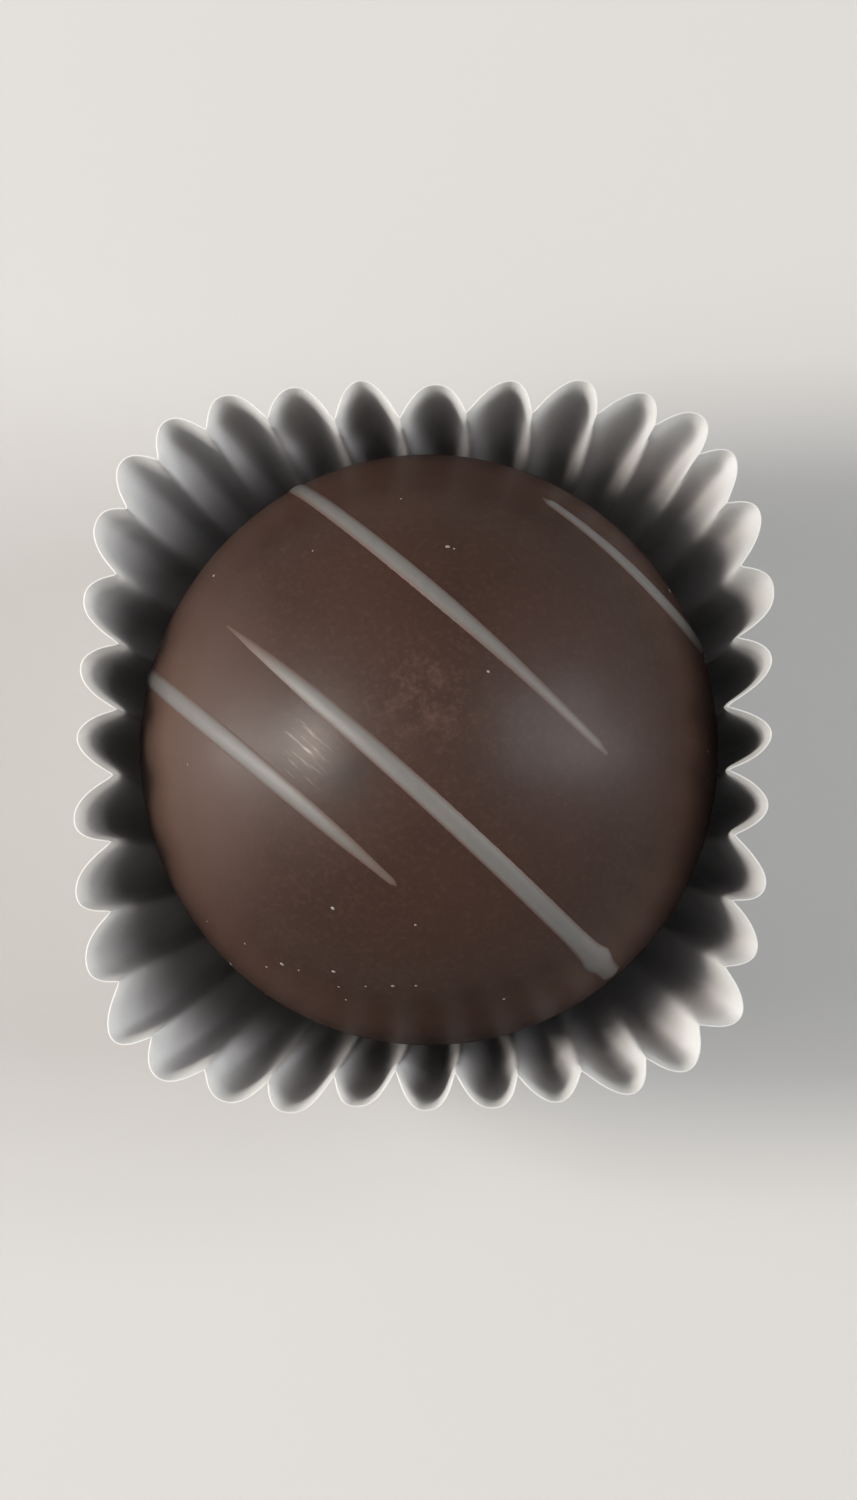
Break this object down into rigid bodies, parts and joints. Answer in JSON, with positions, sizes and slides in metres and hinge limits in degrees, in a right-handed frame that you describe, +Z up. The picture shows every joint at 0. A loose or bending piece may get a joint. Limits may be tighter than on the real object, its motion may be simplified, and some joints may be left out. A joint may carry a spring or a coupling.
{
  "type": "chocolate truffle",
  "caption": "Round milk chocolate truffle with a flat underside and slanting strokes of white drizzle, sitting in a pleated white paper case with a rounded square mouth.",
  "frame": {"origin": "centre of the paper case's flat underside, on the surface it stands on", "axes": "+Z up through the top of the truffle, +Y towards the top of the picture and +X to its right"},
  "size_m": [0.0332, 0.0348, 0.0258],
  "materials": {
    "chocolate": "satin, smooth tempered milk chocolate with a faint bloom",
    "white_drizzle": "satin white chocolate, thin and slightly see-through at its edges",
    "case_paper": "matt white greaseproof paper"
  },
  "bodies": {
    "root": {"truffle": "chocolate", "paper_case": "case_paper"}
  },
  "joints": []
}
